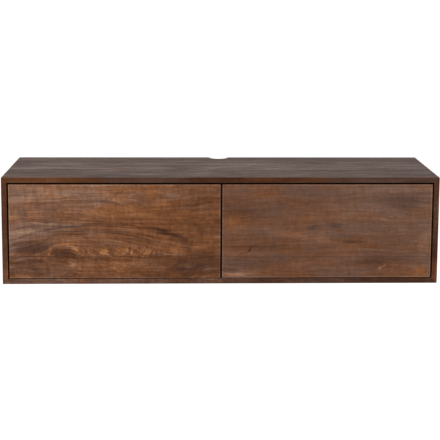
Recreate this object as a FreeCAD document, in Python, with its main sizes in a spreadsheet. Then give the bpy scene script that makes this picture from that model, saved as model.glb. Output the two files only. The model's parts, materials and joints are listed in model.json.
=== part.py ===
import FreeCAD, Part
import Sketcher
import math
import os
import re
from collections import defaultdict

# Floating media console: a shallow wooden case that hangs on the wall from two cleats, with two wide flaps
# that drop forward on concealed hinges and are held level by sliding stays.
#
# Millimetres. The origin is the middle of the underside: x runs along the case to the right, y runs to the
# wall, which stands at y = depth / 2, and z runs up.

SIZES = {
    # the case
    "width": (1450, "outside width of the case"),
    "depth": (400, "outside depth of the case, front edge to wall"),
    "height": (360, "outside height of the case"),
    "board": (18, "thickness of the case boards"),
    "case_round": (2.5, "radius on the outer arrises of the case"),
    "lip_round": (1.5, "radius on the inner front arrises of the case"),
    "notch_radius": (34, "radius of the half-round cable notch in the rear edge of the top"),
    "partition_board": (18, "thickness of the centre partition"),
    "back_board": (8, "thickness of the back panels"),
    "groove_depth": (6, "depth of the grooves that hold the back panels"),
    "groove_play": (0.1, "play of a back panel on each side in its groove"),
    "back_joint": (0.5, "joint between the two back panels"),
    "gutter": (35, "depth of the cable gutter between back panels and wall"),
    "cable_hole_radius": (30, "radius of the cable hole in each back panel"),
    "cable_hole_rise": (72, "height of the cable holes over the bottom panel"),
    # the joints of the case
    "tongue_width": (12, "width of the loose tongues in the mitres"),
    "tongue_plate": (4, "thickness of the loose tongues"),
    "tongue_shift": (2, "how far the tongues lie inside the middle of the mitre, along each board"),
    "tongue_front": (15, "distance of the tongues from the front edge"),
    "tongue_play": (0.1, "play round a tongue in its slot"),
    "dowel_radius": (4, "radius of the partition dowels"),
    "dowel_in_panel": (11, "length of a dowel inside the top or bottom panel"),
    "dowel_in_partition": (19, "length of a dowel inside the partition"),
    "dowel_inset": (40, "distance of the outer dowels from the partition's ends"),
    "dowel_play": (0.03, "play round a dowel in its hole"),
    # the wall fixing
    "rail_height": (72, "height of the hanging rails"),
    "cleat_board": (18, "thickness of the cleats"),
    "cleat_height": (60, "height of a cabinet cleat at its wall face"),
    "wall_cleat_height": (42, "height of a wall cleat at its wall face"),
    "cleat_play": (0.3, "play between a wall cleat and the hanging rail"),
    "cleat_from_middle": (60, "distance of rails and cleats from the middle of the case"),
    "cleat_from_side": (12, "distance of the cleats from the side panels"),
    "wall_hole_radius": (3, "radius of the wall screws' holes"),
    "wall_hole_pitch": (160, "distance between the wall screws' holes"),
    # the flaps
    "flap_board": (18, "thickness of a flap"),
    "flap_setback": (0.5, "how far the closed flaps lie behind the case's front edge"),
    "flap_round": (2, "radius on the front arrises of a flap"),
    "side_gap": (4.5, "gap between a flap and its side panel"),
    "top_gap": (4.4, "gap between the flaps and the top panel"),
    "middle_gap": (4.3, "gap between the two flaps"),
    "foot_gap": (1.5, "gap between the flaps and the bottom panel"),
    "swing_clearance": (0.5, "least distance of a turning flap from the bottom panel"),
    "stop_gap": (4, "distance from a closed flap to the partition"),
    "bumper_radius": (3, "radius of the rubber bumpers"),
    "bumper_clearance": (0.3, "distance from a closed flap to its bumpers"),
    "bumper_inset": (30, "distance of the bumpers from the flap's upper and lower edges"),
    # the concealed hinges
    "hinge_inset": (90, "distance of the outer hinges from the flap's ends"),
    "barrel_radius": (6.5, "radius of a hinge barrel"),
    "barrel_depth": (12, "depth of a hinge barrel"),
    "barrel_play": (0.03, "play round a barrel in its bore"),
    "link_radius": (7, "middle radius of a hinge link"),
    "link_band": (2, "radial thickness of a hinge link"),
    "link_plate": (2.4, "width of a hinge link along the hinge axis"),
    "link_sweep": (170, "angle that a hinge link spans"),
    "link_play": (0.15, "radial play of a link in its slot"),
    "link_side_play": (0.3, "side play of a link in its slot"),
    # the stays
    "full_opening": (90, "angle between a closed and an open flap"),
    "stay_reach": (150, "distance from the hinge axis to both pivots of a stay"),
    "stay_lead": (30, "angle between the two pivots of a stay at rest, seen from the hinge axis"),
    "pivot_standoff": (9, "distance of the flap pivot from the inner face of the flap"),
    "pin_radius": (3, "radius of the pivot pins"),
    "pin_play": (0.05, "play round a pin in its hole"),
    "pin_head": (1, "thickness of the flap pin's head"),
    "pin_head_radius": (4.4, "radius of the flap pin's head"),
    "arm_width": (10, "width of a stay arm"),
    "arm_plate": (2.4, "thickness of a stay arm"),
    "arm_play": (0.3, "play on each side of a stay arm"),
    "arm_stop": (5.5, "length of the arm's end stop"),
    "arm_stop_width": (16, "width of the arm's end stop"),
    "stay_plate": (2, "thickness of a stay's base plate and bracket"),
    "guide_length": (22, "length of a guide along the arm"),
    "guide_width": (18, "width of a guide across the arm"),
    "guide_bore": (4.5, "depth of a guide's pin bore"),
    "guide_web": (0.8, "wall between a guide's bore and its arm slot"),
    "guide_cover": (1.7, "wall outside a guide's arm slot"),
    "base_length": (28, "length of a stay's base plate"),
    "base_height": (48, "height of a stay's base plate"),
    "base_screw_pitch": (36, "distance between the screws of a base plate"),
    "ear_height": (14, "height of the bracket's ear"),
    "bracket_width": (32, "width of the bracket's foot"),
    "bracket_height": (28, "height of the bracket's foot"),
    "bracket_screw_inset": (10, "distance of the first bracket screw from the arm's plane"),
    "bracket_screw_pitch": (12, "distance between the screws of a bracket"),
    # the push latches
    "latch_width": (28, "width of a latch housing"),
    "latch_length": (70, "length of a latch housing"),
    "latch_height": (20, "height of a latch housing"),
    "latch_drop": (12, "distance of the plunger's axis below the top panel"),
    "latch_setback": (3.5, "distance from a closed flap to the latch housing"),
    "latch_screw_pitch": (36, "distance between a latch's two screws along its length"),
    "latch_screw_offset": (9, "distance of the latch screws from the plunger's axis"),
    "plunger_radius": (4, "radius of the latch plunger"),
    "plunger_length": (58, "length of the latch plunger"),
    "plunger_play": (0.05, "play round the plunger in its housing"),
    "strike_radius": (6.3, "radius of the strike plate on a flap"),
    "strike_plate": (1.2, "thickness of the strike plate"),
    "strike_clearance": (0.3, "distance from the strike plate to the resting plunger"),
    # the screws
    "screw_radius": (1.75, "radius of a screw's shank"),
    "screw_head_radius": (3.4, "radius of a screw's countersunk head"),
    "screw_head": (1.9, "height of a screw's countersunk head"),
    "screw_tip": (3, "length of a screw's tip"),
    "screw_play": (0.05, "play round a screw in its hole"),
    "plate_screw_grip": (7, "how far the stays' screws bite into the wood"),
    "bracket_screw_grip": (11, "how far the brackets' screws bite into a flap"),
    "latch_screw_grip": (11, "how far the latch screws bite into the top panel"),
    "rail_screw_grip": (14, "how far the back panels' screws bite into the rail"),
    "partition_screw_grip": (24, "how far the back panels' screws bite into the partition"),
    "cleat_screw_grip": (14, "how far the cleat screws bite into the rail"),
    "strike_screw_grip": (10, "how far the strike plate's screw bites into the flap"),
    "rail_screw_inset": (70, "distance of the outer rail screws from the rail's ends"),
    "cleat_screw_inset": (40, "distance of the outer cleat screws from the cleat's ends"),
    "partition_screw_inset": (45, "distance of the outer partition screws from the panels above and below"),
}

# Levels and distances that follow from the sizes.
FORMULAS = {
    "inner_half": "width / 2 - board",
    "top_under": "height - board",
    "mid_height": "height / 2",
    "flap_front": "flap_setback - depth / 2",
    "flap_inner": "flap_front + flap_board",
    "flap_foot": "board + foot_gap",
    "flap_head": "top_under - top_gap",
    "flap_end": "inner_half - side_gap",
    "flap_middle": "(flap_end + middle_gap / 2) / 2",
    "hinge_y": "flap_front + foot_gap + flap_round - swing_clearance",
    "hinge_z": "flap_foot + flap_round",
    "hinge_spread": "(flap_end - middle_gap / 2) / 2 - hinge_inset",
    "barrel_y": "flap_front + flap_board / 2",
    "partition_front": "flap_inner + stop_gap",
    "back_face": "rail_face - back_board",
    "rail_face": "depth / 2 - gutter",
    "cleat_face": "depth / 2 - cleat_board",
    "cleat_seam": "top_under - cleat_height",
    "cleat_start": "cleat_from_middle",
    "cleat_end": "inner_half - cleat_from_side",
    "cleat_middle": "(cleat_start + cleat_end) / 2",
    # the flap pivot and the case pivot of a stay, from the hinge axis
    "flap_pivot_back": "flap_board + pivot_standoff - foot_gap - flap_round + swing_clearance",
    "flap_pivot_up": "sqrt(stay_reach ^ 2 - flap_pivot_back ^ 2)",
    "case_pivot_back": "flap_pivot_back * cos(stay_lead) + flap_pivot_up * sin(stay_lead)",
    "case_pivot_up": "flap_pivot_up * cos(stay_lead) - flap_pivot_back * sin(stay_lead)",
    "flap_pivot_y": "hinge_y + flap_pivot_back",
    "flap_pivot_z": "hinge_z + flap_pivot_up",
    "case_pivot_y": "hinge_y + case_pivot_back",
    "case_pivot_z": "hinge_z + case_pivot_up",
    "stay_slope": "atan((case_pivot_up - flap_pivot_up) / (case_pivot_back - flap_pivot_back))",
    "arm_reach": "2 * stay_reach * sin((stay_lead + full_opening) / 2)",
    "arm_length": "arm_reach + guide_length / 2 + arm_play + arm_stop",
    "guide_slot": "arm_plate + 2 * arm_play",
    "guide_thickness": "guide_bore + guide_web + guide_slot + guide_cover",
    "slot_start": "stay_plate + arm_play + guide_bore + guide_web",
    "arm_start": "slot_start + arm_play",
    "ear_start": "slot_start - stay_plate",
    "latch_y": "flap_inner + latch_setback",
    "latch_z": "top_under - latch_drop",
    "plunger_y": "flap_inner + strike_plate + strike_clearance",
    "tongue_middle": "board / 2 + tongue_shift",
}

doc = FreeCAD.newDocument("MediaConsole")
sheet = doc.addObject("Spreadsheet::Sheet", "Sizes")
for row, (alias, (size, meaning)) in enumerate(SIZES.items(), start=1):
    sheet.set(f"A{row}", meaning)
    sheet.set(f"B{row}", str(size))
    sheet.setAlias(f"B{row}", alias)
doc.recompute()


# ---------------------------------------------------------------- formulas, places and plain solids


def formula(text):
    """Spells a formula out in cells of the sheet: a size becomes its cell, and a level its own formula."""

    def spell(match):
        word = match.group(0)
        if word in FORMULAS:
            return f"({formula(FORMULAS[word])})"
        return f"Sizes.{word}" if word in SIZES else word

    return re.sub(r"[a-z_]+", spell, str(text))


def size_of(text):
    """The value of a formula as a number."""
    value = sheet.evalExpression(formula(text))
    return float(getattr(value, "Value", value))


def bind(thing, **sizes):
    """Binds properties of a document object to formulas."""
    for name, text in sizes.items():
        thing.setExpression(name, formula(text))
    return thing


X_AXIS = FreeCAD.Vector(1, 0, 0)
Y_AXIS = FreeCAD.Vector(0, 1, 0)
Z_AXIS = FreeCAD.Vector(0, 0, 1)
# Ways that a cylinder or a screw can point, by sign and coordinate: the turn from +z.
WAYS = {
    "+x": FreeCAD.Rotation(Z_AXIS, X_AXIS),
    "-x": FreeCAD.Rotation(Z_AXIS, -X_AXIS),
    "+y": FreeCAD.Rotation(Z_AXIS, Y_AXIS),
    "-y": FreeCAD.Rotation(Z_AXIS, -Y_AXIS),
    "+z": FreeCAD.Rotation(),
}
UPRIGHT = FreeCAD.Rotation()
# The turn of a cylinder's sector onto the x axis: it starts along +y and grows towards +z.
ARC_TURN = FreeCAD.Rotation(Y_AXIS, Z_AXIS, X_AXIS, "ZXY")


def place(thing, at, turn=UPRIGHT):
    """Gives an object its turn, and binds its place to three formulas."""
    thing.Placement = FreeCAD.Placement(FreeCAD.Vector(), turn)
    for letter, text in zip("xyz", at):
        thing.setExpression(f"Placement.Base.{letter}", formula(text))
    return thing


def tilt(thing, slope):
    """Binds an object's turn about the x axis to a formula."""
    thing.Placement.Rotation = FreeCAD.Rotation(X_AXIS, 1)
    thing.setExpression("Placement.Rotation.Angle", formula(slope))


def block(lengths, at, turn=UPRIGHT):
    """A rectangular block, by its three lengths and its lowest corner."""
    box = doc.addObject("Part::Box", "block")
    bind(box, Length=lengths[0], Width=lengths[1], Height=lengths[2])
    return place(box, at, turn)


def rod(radius, length, at, way):
    """A round rod that starts at a point and runs one way."""
    cylinder = doc.addObject("Part::Cylinder", "rod")
    bind(cylinder, Radius=radius, Height=length)
    return place(cylinder, at, WAYS[way])


def taper(first, last, length, at, way):
    """A cone whose radius goes from first to last."""
    cone = doc.addObject("Part::Cone", "taper")
    bind(cone, Radius1=first, Radius2=last, Height=length)
    return place(cone, at, WAYS[way])


def shifted(at, way, distance):
    """The point that lies a distance further one way."""
    sign, letter = way
    index = "xyz".index(letter)
    moved = list(at)
    moved[index] = f"{at[index]} {sign} ({distance})"
    return moved


def fused(shapes):
    """Several shapes as one solid."""
    fuse = doc.addObject("Part::MultiFuse", "fused")
    fuse.Shapes = shapes
    return fuse


def grouped(shapes):
    """Several separate solids as one object."""
    compound = doc.addObject("Part::Compound", "group")
    compound.Links = shapes
    return compound


def carved(base, tools):
    """A shape with other shapes taken out of it."""
    if not tools:
        return base
    cut = doc.addObject("Part::Cut", "carved")
    cut.Base = base
    cut.Tool = tools[0] if len(tools) == 1 else fused(tools)
    return cut


def shared(first, second):
    """What two shapes have in common."""
    common = doc.addObject("Part::Common", "shared")
    common.Base = first
    common.Tool = second
    return common


def low_x(face, way, near, far):
    """The lower x of a piece that lies between two distances from an upright face, on one side of it."""
    return f"({face}) + ({near})" if way > 0 else f"({face}) - ({far})"


# ---------------------------------------------------------------- sketched bodies


def sketch_on(body, role, outline, circles=()):
    """A sketch on a body's own plane: a closed outline and round holes, each point bound to the sheet."""
    sketch = body.newObject("Sketcher::SketchObject", "sketch")
    plane = next(item for item in body.Origin.OriginFeatures if item.Role == role)
    sketch.AttachmentSupport = (plane, [""])
    sketch.MapMode = "FlatFace"
    corners = [FreeCAD.Vector(size_of(u), size_of(v), 0) for u, v in outline]
    count = len(corners)
    for index in range(count):
        sketch.addGeometry(Part.LineSegment(corners[index], corners[(index + 1) % count]), False)
    for index in range(count):
        sketch.addConstraint(Sketcher.Constraint("Coincident", index, 2, (index + 1) % count, 1))
    for index, point in enumerate(outline):
        pin_point(sketch, index, 1, point, corners[index])
    for index, (centre, radius) in enumerate(circles, start=count):
        middle = FreeCAD.Vector(size_of(centre[0]), size_of(centre[1]), 0)
        sketch.addGeometry(Part.Circle(middle, FreeCAD.Vector(0, 0, 1), size_of(radius)), False)
        pin_point(sketch, index, 3, centre, middle)
        number = sketch.addConstraint(Sketcher.Constraint("Radius", index, size_of(radius)))
        sketch.setExpression(f"Constraints[{number}]", formula(radius))
    return sketch


def pin_point(sketch, geometry, end, point, start):
    """Holds one point of a sketch at its two distances from the origin."""
    for kind, text, value in zip(("DistanceX", "DistanceY"), point, (start.x, start.y)):
        number = sketch.addConstraint(Sketcher.Constraint(kind, -1, 1, geometry, end, value))
        sketch.setExpression(f"Constraints[{number}]", formula(text))


def prism(role, outline, length, at, circles=()):
    """A body padded from an outline: along -y from the XZ plane, or along +x from the YZ plane."""
    body = doc.addObject("PartDesign::Body", "body")
    pad = body.newObject("PartDesign::Pad", "pad")
    pad.Profile = sketch_on(body, role, outline, circles)
    bind(pad, Length=length)
    place(body, at)
    doc.recompute()
    return body


def round_edges(body, radius, is_rounded):
    """Rounds the edges of a body whose middle passes a test, with a radius bound to the sheet."""
    tip = body.Tip
    names = []
    for number, edge in enumerate(tip.Shape.Edges, start=1):
        if is_rounded(edge.CenterOfMass):
            names.append(f"Edge{number}")
    fillet = body.newObject("PartDesign::Fillet", "rounding")
    fillet.Base = (tip, names)
    bind(fillet, Radius=radius)
    doc.recompute()
    return body


def near(value, text):
    """Whether a number lies at the value of a formula."""
    return math.isclose(value, size_of(text), abs_tol=1e-4)


# ---------------------------------------------------------------- pieces, groups and holes

pieces = {}  # node name: the piece before its holes are made
groups = defaultdict(list)  # node name: separate solids of one node
holes = defaultdict(list)  # node name: what is taken out of the piece


def wood_screw(group, at, way, grip, plate, through):
    """A countersunk screw whose head is flush at a point; it passes a plate and grips wood behind it."""
    length = f"({plate}) + ({grip})"
    shank = f"{length} - screw_head - screw_tip"
    neck = shifted(at, way, "screw_head")
    point = shifted(at, way, f"{length} - screw_tip")
    head = taper("screw_head_radius", "screw_radius", "screw_head", at, way)
    stem = rod("screw_radius", shank, neck, way)
    tip = taper("screw_radius", "screw_radius / 6", "screw_tip", point, way)
    groups[group].append(fused([head, stem, tip]))
    sink = taper("screw_head_radius + screw_play", "screw_radius + screw_play", "screw_head", at, way)
    pilot = rod("screw_radius + screw_play", f"{length} + screw_play", at, way)
    hole = fused([sink, pilot])
    for name in through:
        holes[name].append(hole)


SIDES = {"left": -1, "right": 1}
CORNERS = [(-1, 0, 45), (1, 0, -45), (-1, 1, -45), (1, 1, 45)]  # side, 0 low or 1 high, turn of the tongue


# ---------------------------------------------------------------- case boards


def case_boards():
    """Top, bottom and sides: boards mitred at 45 degrees, with rounded outer arrises and a rounded lip."""
    w, i = "width / 2", "inner_half"
    frame = [(f"-{w}", 0), (w, 0), (w, "height"), (f"-{w}", "height")]
    envelope = prism("XZ_Plane", frame, "depth", (0, "depth / 2", 0))
    round_edges(envelope, "case_round", lambda middle: True)
    outlines = {
        "top_panel": [(f"-{i}", "top_under"), (i, "top_under"), (w, "height"), (f"-{w}", "height")],
        "bottom_panel": [(f"-{w}", 0), (w, 0), (i, "board"), (f"-{i}", "board")],
        "side_panel_left": [(f"-{w}", 0), (f"-{i}", "board"), (f"-{i}", "top_under"), (f"-{w}", "height")],
        "side_panel_right": [(w, 0), (w, "height"), (i, "top_under"), (i, "board")],
    }
    lips = {
        "top_panel": lambda middle: near(middle.z, "top_under"),
        "bottom_panel": lambda middle: near(middle.z, "board"),
        "side_panel_left": lambda middle: near(middle.x, f"-{i}"),
        "side_panel_right": lambda middle: near(middle.x, i),
    }
    for name, outline in outlines.items():
        board = prism("XZ_Plane", outline, "depth", (0, "depth / 2", 0))
        is_lip = lips[name]
        round_edges(board, "lip_round", lambda middle: near(middle.y, "-depth") and is_lip(middle))
        pieces[name] = shared(board, envelope)
    holes["top_panel"].append(rod("notch_radius", "board", (0, "depth / 2", "top_under"), "+z"))


def back_grooves():
    """Grooves in top, bottom and sides for the back panels."""
    thickness = "back_board + 2 * groove_play"
    start = "back_face - groove_play"
    half = "inner_half + groove_depth"
    across = (f"2 * ({half})", thickness, "groove_depth")
    holes["top_panel"].append(block(across, (f"-({half})", start, "top_under")))
    holes["bottom_panel"].append(block(across, (f"-({half})", start, "board - groove_depth")))
    upright = ("groove_depth", thickness, "top_under - board + 2 * groove_depth")
    foot = "board - groove_depth"
    holes["side_panel_left"].append(block(upright, (f"-({half})", start, foot)))
    holes["side_panel_right"].append(block(upright, ("inner_half", start, foot)))


def mitre_tongues():
    """Four loose tongues, square to the mitres, near their inner corners, and the slots that take them."""
    long = "back_face - tongue_width + depth / 2 - tongue_front"
    for side, level, turn in CORNERS:
        for play, target in (("0", "tongue"), ("tongue_play", "slot")):
            half_width = f"(tongue_width / 2 + {play})"
            half_plate = f"(tongue_plate / 2 + {play})"
            centre_x = f"{side} * (width / 2 - tongue_middle)"
            centre_z = "height - tongue_middle" if level else "tongue_middle"
            x = f"{centre_x} - {half_width} * cos({turn}) - {half_plate} * sin({turn})"
            z = f"{centre_z} + {half_width} * sin({turn}) - {half_plate} * cos({turn})"
            y = f"tongue_front - depth / 2 - {play}"
            lengths = (f"2 * {half_width}", f"{long} + 2 * {play}", f"2 * {half_plate}")
            bar = block(lengths, (x, y, z), FreeCAD.Rotation(Y_AXIS, turn))
            if target == "tongue":
                groups["mitre_tongues"].append(bar)
            else:
                holes["top_panel" if level else "bottom_panel"].append(bar)
                holes["side_panel_left" if side < 0 else "side_panel_right"].append(bar)


def partition():
    """Centre partition between bottom and top, set back behind the flaps, with its dowels."""
    long = "back_face - partition_front"
    lengths = ("partition_board", long, "top_under - board")
    pieces["centre_partition"] = block(lengths, ("-partition_board / 2", "partition_front", "board"))
    for y in ("partition_front + dowel_inset", f"partition_front + ({long}) / 2", "back_face - dowel_inset"):
        for panel, foot in (
            ("bottom_panel", "board - dowel_in_panel"),
            ("top_panel", "top_under - dowel_in_partition"),
        ):
            length = "dowel_in_panel + dowel_in_partition"
            groups["partition_dowels"].append(rod("dowel_radius", length, (0, y, foot), "+z"))
            bore_foot = f"{foot} - dowel_play"
            bore = rod("dowel_radius + dowel_play", f"{length} + 2 * dowel_play", (0, y, bore_foot), "+z")
            holes[panel].append(bore)
            holes["centre_partition"].append(bore)


def back_panels():
    """Two thin back panels in the grooves, meeting behind the partition, each with a cable hole."""
    half = "inner_half + groove_depth - groove_play"
    foot = "board - groove_depth + groove_play"
    tall = "top_under - board + 2 * (groove_depth - groove_play)"
    lengths = (f"{half} - back_joint / 2", "back_board", tall)
    for side, sign in SIDES.items():
        name = f"back_panel_{side}"
        x = low_x(0, sign, "back_joint / 2", half)
        pieces[name] = block(lengths, (x, "back_face", foot))
        centre = (f"{sign} * flap_middle", "back_face", "board + cable_hole_rise")
        holes[name].append(rod("cable_hole_radius", "back_board", centre, "+y"))
        through = (name, "centre_partition")
        for z in ("board + partition_screw_inset", "mid_height", "top_under - partition_screw_inset"):
            at = (f"{sign} * partition_board / 4", "rail_face", z)
            wood_screw(f"back_panel_screws_{side}", at, "-y", "partition_screw_grip", "back_board", through)


def evenly(first, last, count):
    """Formulas for evenly spaced places from first to last."""
    return [f"{first} + {step} / {count - 1} * ({last} - ({first}))" for step in range(count)]


def hanging_rails():
    """Rails behind the back panels, under the top, which take the load from the case to the cleats."""
    lengths = ("inner_half - cleat_start", "cleat_face - rail_face", "rail_height")
    for side, sign in SIDES.items():
        name = f"hanging_rail_{side}"
        x = low_x(0, sign, "cleat_start", "inner_half")
        pieces[name] = block(lengths, (x, "rail_face", "top_under - rail_height"))
        first, last = "cleat_start + rail_screw_inset", "(inner_half - rail_screw_inset)"
        for distance in evenly(first, last, 4):
            at = (f"{sign} * ({distance})", "back_face", "top_under - rail_height / 2")
            through = (f"back_panel_{side}", name)
            wood_screw(f"back_panel_screws_{side}", at, "+y", "rail_screw_grip", "back_board", through)


def cleats():
    """French cleats: a bevelled cabinet cleat on the rail hooks over a bevelled wall cleat."""
    wall = "depth / 2"
    cabinet = [
        ("cleat_face", "cleat_seam + cleat_board"),
        (wall, "cleat_seam"),
        (wall, "top_under"),
        ("cleat_face", "top_under"),
    ]
    foot = "cleat_seam - wall_cleat_height"
    lower = [
        ("cleat_face + cleat_play", foot),
        (wall, foot),
        (wall, "cleat_seam"),
        ("cleat_face + cleat_play", "cleat_seam + cleat_board - cleat_play"),
    ]
    for side, sign in SIDES.items():
        x = low_x(0, sign, "cleat_start", "cleat_end")
        length = "cleat_end - cleat_start"
        pieces[f"cabinet_cleat_{side}"] = prism("YZ_Plane", cabinet, length, (x, 0, 0))
        pieces[f"wall_cleat_{side}"] = prism("YZ_Plane", lower, length, (x, 0, 0))
        first, last = "cleat_start + cleat_screw_inset", "(cleat_end - cleat_screw_inset)"
        through = (f"cabinet_cleat_{side}", f"hanging_rail_{side}")
        for distance in evenly(first, last, 4):
            at = (f"{sign} * ({distance})", wall, "top_under - (cleat_height - cleat_board) / 2")
            wood_screw(f"cleat_screws_{side}", at, "-y", "cleat_screw_grip", "cleat_board", through)
        for step in (-1.5, -0.5, 0.5, 1.5):
            centre_x = f"{sign} * cleat_middle + {step} * wall_hole_pitch"
            centre = (centre_x, "cleat_face", "cleat_seam - wall_cleat_height / 2")
            holes[f"wall_cleat_{side}"].append(rod("wall_hole_radius", "cleat_board", centre, "+y"))


# ---------------------------------------------------------------- flaps and what they carry


def flap(side, sign):
    """One drop-down flap: a plain board with rounded front arrises."""
    near_end, far_end = ("middle_gap / 2", "flap_end")
    low = f"-({far_end})" if sign < 0 else near_end
    high = f"-({near_end})" if sign < 0 else far_end
    outline = [(low, "flap_foot"), (high, "flap_foot"), (high, "flap_head"), (low, "flap_head")]
    board = prism("XZ_Plane", outline, "flap_board", (0, "flap_inner", 0))
    pieces[f"flap_{side}"] = round_edges(board, "flap_round", lambda middle: near(middle.y, "-flap_board"))
    for z in ("flap_foot + bumper_inset", "flap_head - bumper_inset"):
        at = (f"{sign} * (partition_board / 4 + middle_gap / 4)", "flap_inner + bumper_clearance", z)
        groups["flap_bumpers"].append(rod("bumper_radius", "stop_gap - bumper_clearance", at, "+y"))


def hinges(side, sign):
    """Three concealed hinges: a slotted barrel in the case, one in the flap, and an arc link between them."""
    outer, inner = "link_radius + link_band / 2", "link_radius - link_band / 2"
    slot_width = "link_plate + 2 * link_side_play"
    for step in (-1, 0, 1):
        x = f"{sign} * flap_middle + {step} * hinge_spread"
        start = f"{x} - link_plate / 2"
        disc = rod(outer, "link_plate", (start, "hinge_y", "hinge_z"), "+x")
        disc.Placement.Rotation = FreeCAD.Rotation(X_AXIS, -size_of("link_sweep") / 2).multiply(ARC_TURN)
        bind(disc, Angle="link_sweep")
        core = rod(inner, "link_plate", (start, "hinge_y", "hinge_z"), "+x")
        groups[f"hinge_links_{side}"].append(carved(disc, [core]))

        slot_start = (f"{x} - ({slot_width}) / 2", "hinge_y", "hinge_z")
        ring_outer = rod(f"{outer} + link_play", slot_width, slot_start, "+x")
        ring_inner = rod(f"{inner} - link_play", slot_width, slot_start, "+x")
        slot = carved(ring_outer, [ring_inner])
        for board, foot, group in (
            ("bottom_panel", "board - barrel_depth", f"hinge_barrels_case_{side}"),
            (f"flap_{side}", "flap_foot", f"hinge_barrels_flap_{side}"),
        ):
            barrel = rod("barrel_radius", "barrel_depth", (x, "barrel_y", foot), "+z")
            groups[group].append(carved(barrel, [slot]))
            bore = rod("barrel_radius + barrel_play", "barrel_depth", (x, "barrel_y", foot), "+z")
            holes[board].append(bore)


def stay(name, flap_side, board, face, way):
    """A sliding stay: base plate with a pin, guide that swivels on it, arm in the guide, flap bracket."""
    pivot_y, pivot_z = "case_pivot_y", "case_pivot_z"
    direction = "+x" if way > 0 else "-x"

    # base plate on the side panel or the partition, with the guide's pin
    plate_x = low_x(face, way, 0, "stay_plate")
    plate_at = (plate_x, f"{pivot_y} - base_length / 2", f"{pivot_z} - base_height / 2")
    plate = block(("stay_plate", "base_length", "base_height"), plate_at)
    pin_start = (f"({face}) + {way} * stay_plate / 2", pivot_y, pivot_z)
    pin = rod("pin_radius", "stay_plate / 2 + guide_bore", pin_start, direction)
    base = f"stay_base_{name}"
    pieces[base] = fused([plate, pin])
    for step in (-0.5, 0.5):
        at = (f"({face}) + {way} * stay_plate", pivot_y, f"{pivot_z} + {step} * base_screw_pitch")
        into = "-x" if way > 0 else "+x"
        wood_screw("stay_base_screws", at, into, "plate_screw_grip", "stay_plate", (base, board))

    # guide: a block in its own frame about the pivot, with a bore for the pin and a slot for the arm
    thickness = "guide_thickness"
    half_length, half_width = "guide_length / 2", "guide_width / 2"
    low = 0 if way > 0 else f"-({thickness})"
    solid = block((thickness, "guide_length", "guide_width"), (low, f"-{half_length}", f"-{half_width}"))
    bore = rod("pin_radius + pin_play", "guide_bore", (0, 0, 0), direction)
    slot_x = low_x(0, way, "guide_bore + guide_web", "guide_bore + guide_web + guide_slot")
    slot_at = (slot_x, f"-{half_length}", "-arm_width / 2 - arm_play")
    slot = block(("guide_slot", "guide_length", "arm_width + 2 * arm_play"), slot_at)
    guide = carved(solid, [bore, slot])
    place(guide, (f"({face}) + {way} * (stay_plate + arm_play)", pivot_y, pivot_z))
    tilt(guide, "stay_slope")
    pieces[f"stay_guide_{name}"] = guide

    # arm: a flat bar from the flap pivot, through the guide, to a wide end stop
    half, wide = "arm_width / 2", "arm_stop_width / 2"
    stop = "arm_length - arm_stop"
    outline = [
        (f"-{half}", f"-{half}"),
        (stop, f"-{half}"),
        (stop, f"-{wide}"),
        ("arm_length", f"-{wide}"),
        ("arm_length", wide),
        (stop, wide),
        (stop, half),
        (f"-{half}", half),
    ]
    x = low_x(face, way, "arm_start", "arm_start + arm_plate")
    eye = [((0, 0), "pin_radius + pin_play")]
    arm = prism("YZ_Plane", outline, "arm_plate", (x, "flap_pivot_y", "flap_pivot_z"), eye)
    round_edges(arm, f"{half} - pin_play", lambda middle: near(middle.y, f"-{half}") and abs(middle.z) > 1)
    tilt(arm, "stay_slope")
    pieces[f"stay_arm_{name}"] = arm

    # bracket on the flap: a foot, an ear beside the arm, and a headed pin through the arm's eye
    foot_x = low_x(face, way, "ear_start", "ear_start + bracket_width")
    foot_at = (foot_x, "flap_inner", "flap_pivot_z - bracket_height / 2")
    foot = block(("bracket_width", "stay_plate", "bracket_height"), foot_at)
    ear_at = (low_x(face, way, "ear_start", "slot_start"), "flap_inner", "flap_pivot_z - ear_height / 2")
    ear = block(("stay_plate", "pivot_standoff + ear_height / 2", "ear_height"), ear_at)
    pivot = (f"({face}) + {way} * (slot_start - stay_plate / 2)", "flap_pivot_y", "flap_pivot_z")
    axle = rod("pin_radius", "stay_plate / 2 + guide_slot + pin_head / 2", pivot, direction)
    head_at = (f"({face}) + {way} * (slot_start + guide_slot)", "flap_pivot_y", "flap_pivot_z")
    head = rod("pin_head_radius", "pin_head", head_at, direction)
    bracket = f"stay_bracket_{name}"
    pieces[bracket] = fused([foot, ear, axle, head])
    for step in (0, 1):
        distance = f"arm_start + bracket_screw_inset + {step} * bracket_screw_pitch"
        at = (f"({face}) + {way} * ({distance})", "flap_inner + stay_plate", "flap_pivot_z")
        through = (bracket, f"flap_{flap_side}")
        wood_screw(f"bracket_screws_{flap_side}", at, "-y", "bracket_screw_grip", "stay_plate", through)


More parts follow.
